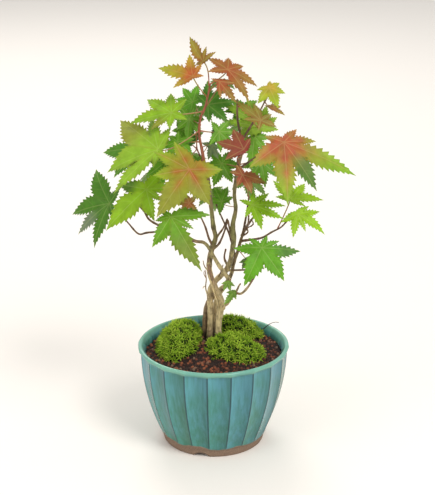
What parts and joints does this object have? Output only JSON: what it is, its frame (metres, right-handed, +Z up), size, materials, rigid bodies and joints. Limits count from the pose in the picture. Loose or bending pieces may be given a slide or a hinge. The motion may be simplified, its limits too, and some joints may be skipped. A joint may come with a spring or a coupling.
{
  "type": "maple bonsai in a fluted pot",
  "caption": "Small potted maple bonsai: twisted thin stems with lobed leaves, moss and soil in a fluted, glazed ceramic bowl with a drain hole and a notched foot.",
  "frame": {"origin": "centre of the pot on the surface it stands on", "axes": "+Z up along the tree, -Y towards the front of the tree, +X to its right"},
  "size_m": [0.2006, 0.1302, 0.2984],
  "materials": {
    "glaze": "glossy turquoise and blue-grey glaze on stoneware, thin and brown on the ridges, mint on the rim; bare brown clay on the foot",
    "net": "black moulded polyethylene net",
    "soil": "dark brown compost with reddish baked clay grains",
    "moss": "dense shaggy moss, bright tips over deep green",
    "bark": "smooth tan bark with dark creases, olive and red-brown on young twigs",
    "leaf_light": "fresh yellow-green satin leaf, light shines through it",
    "leaf_dark": "deeper green satin leaf",
    "leaf_red": "young leaf flushed orange and red over green"
  },
  "bodies": {
    "root": {"drain_net": "net", "leaf_behind_left": "leaf_dark", "leaf_far_left": "leaf_dark", "leaf_front_right": "leaf_light", "leaf_high_left": "leaf_light", "leaf_high_right": "leaf_light", "leaf_inner_dark": "leaf_dark", "leaf_inner_left": "leaf_dark", "leaf_inner_small": "leaf_dark", "leaf_left": "leaf_light", "leaf_long_left": "leaf_light", "leaf_low_left": "leaf_light", "leaf_lowest_right": "leaf_light", "leaf_mid_centre": "leaf_dark", "leaf_mid_left": "leaf_dark", "leaf_mid_low": "leaf_dark", "leaf_mid_outer": "leaf_dark", "leaf_mid_right": "leaf_dark", "leaf_mid_upper": "leaf_dark", "leaf_middle": "leaf_dark", "leaf_middle_low": "leaf_dark", "leaf_middle_right": "leaf_dark", "leaf_mottled": "leaf_light", "leaf_olive": "leaf_light", "leaf_pale": "leaf_light", "leaf_rear_high": "leaf_dark", "leaf_rear_left": "leaf_dark", "leaf_rear_low": "leaf_dark", "leaf_rear_lower": "leaf_dark", "leaf_rear_middle": "leaf_dark", "leaf_rear_outer": "leaf_dark", "leaf_rear_right": "leaf_dark", "leaf_rear_top": "leaf_dark", "leaf_red_centre": "leaf_red", "leaf_red_front": "leaf_red", "leaf_red_small": "leaf_red", "leaf_right": "leaf_light", "leaf_right_large": "leaf_light", "leaf_right_low": "leaf_light", "leaf_shaded_left": "leaf_dark", "leaf_shaded_middle": "leaf_dark", "leaf_shaded_small": "leaf_dark", "leaf_small_orange": "leaf_red", "leaf_stem_dark": "leaf_dark", "leaf_stem_lower": "leaf_light", "leaf_stem_upper": "leaf_light", "leaf_top_front": "leaf_red", "leaf_top_left": "leaf_light", "leaf_top_right": "leaf_red", "leaf_top_tip": "leaf_red", "leaf_upper_right": "leaf_light", "moss_back": "moss", "moss_front": "moss", "moss_left": "moss", "pot": "glaze", "soil": "soil", "stem_back": "bark", "stem_hooked": "bark", "stem_right": "bark", "stem_tall": "bark"}
  },
  "joints": []
}
